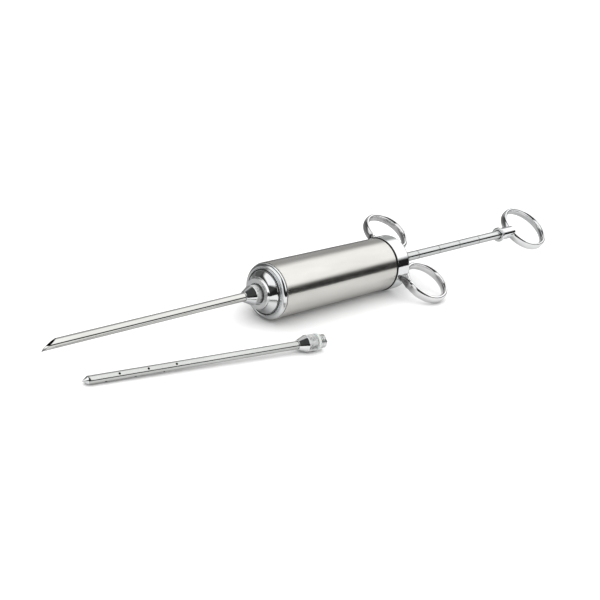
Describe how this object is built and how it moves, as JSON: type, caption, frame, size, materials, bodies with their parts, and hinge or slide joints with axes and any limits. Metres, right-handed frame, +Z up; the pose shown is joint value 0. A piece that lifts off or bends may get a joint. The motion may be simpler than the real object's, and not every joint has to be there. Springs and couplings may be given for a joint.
{
  "type": "meat injector",
  "caption": "Stainless steel marinade injector with finger loops and a thumb-ring plunger, its slant needle fitted and a perforated needle lying beside it.",
  "frame": {"origin": "centre of the underside of the whole part's bounding box, on the surface it lies on", "axes": "+X along the injector from the needle's point to the thumb ring, +Y from the spare needle's side towards the far finger loop, +Z up"},
  "size_m": [0.4382, 0.0822, 0.0349],
  "materials": {
    "brushed_tube": "satin drawn tube, fine marks along it",
    "polished_steel": "polished, mirror-like",
    "needle_tube": "semi-bright drawn tube",
    "clear_silicone": "pale milky silicone, satin",
    "red_silicone": "dark red silicone, satin"
  },
  "bodies": {
    "barrel": {"barrel": "brushed_tube"},
    "front_seal": {"front_cap_gasket": "clear_silicone"},
    "front_cap": {"front_cap": "polished_steel"},
    "needle_seal": {"slant_needle_seal": "clear_silicone"},
    "needle": {"slant_needle_hub": "polished_steel", "slant_needle_tube": "needle_tube"},
    "rear_seal": {"rear_cap_gasket": "clear_silicone"},
    "rear_cap": {"rear_cap": "polished_steel", "finger_loop_far": "polished_steel", "finger_loop_near": "polished_steel"},
    "piston_seals": {"piston_ring_front": "red_silicone", "piston_ring_rear": "red_silicone"},
    "plunger": {"plunger_rod": "polished_steel", "piston_head": "brushed_tube", "piston_washer": "brushed_tube", "piston_nut": "brushed_tube", "thumb_lock_nut": "polished_steel", "thumb_hub": "polished_steel", "thumb_ring": "polished_steel"},
    "spare_needle": {"perforated_needle_tube": "needle_tube", "perforated_needle_tip": "needle_tube", "perforated_needle_hub": "polished_steel", "perforated_needle_seal": "clear_silicone"}
  },
  "joints": [
    {"name": "front_cap_advance", "type": "slide", "parent": "barrel", "child": "front_seal", "axis": [-1, 0, 0], "range_m": [0, 0.00525]},
    {"name": "front_cap_turn", "type": "hinge", "parent": "front_seal", "child": "front_cap", "pos_m": [-0.06903, 0.00483, 0.01745], "axis": [-1, 0, 0], "range_deg": [0, 1260]},
    {"name": "needle_advance", "type": "slide", "parent": "front_cap", "child": "needle_seal", "axis": [-1, 0, 0], "range_m": [0, 0.00375]},
    {"name": "needle_turn", "type": "hinge", "parent": "needle_seal", "child": "needle", "pos_m": [-0.07803, 0.00483, 0.01745], "axis": [-1, 0, 0], "range_deg": [0, 1080]},
    {"name": "rear_cap_advance", "type": "slide", "parent": "barrel", "child": "rear_seal", "axis": [1, 0, 0], "range_m": [0, 0.00525]},
    {"name": "rear_cap_turn", "type": "hinge", "parent": "rear_seal", "child": "rear_cap", "pos_m": [0.02797, 0.00483, 0.01745], "axis": [1, 0, 0], "range_deg": [0, 1260]},
    {"name": "plunger_slide", "type": "slide", "parent": "barrel", "child": "piston_seals", "axis": [-1, 0, 0], "range_m": [0, 0.0732]},
    {"name": "plunger_spin", "type": "hinge", "parent": "piston_seals", "child": "plunger", "pos_m": [0.01607, 0.00483, 0.01745], "axis": [1, 0, 0], "continuous": true},
    {"name": "spare_needle_lift", "type": "slide", "parent": "barrel", "child": "spare_needle", "axis": [0, 0, 1], "range_m": [0, 0.06]}
  ],
  "couplings": [
    {"joint": "front_cap_turn", "follows": "front_cap_advance", "rad_per_m": 4188.8},
    {"joint": "needle_turn", "follows": "needle_advance", "rad_per_m": 5026.5},
    {"joint": "rear_cap_turn", "follows": "rear_cap_advance", "rad_per_m": 4188.8}
  ]
}
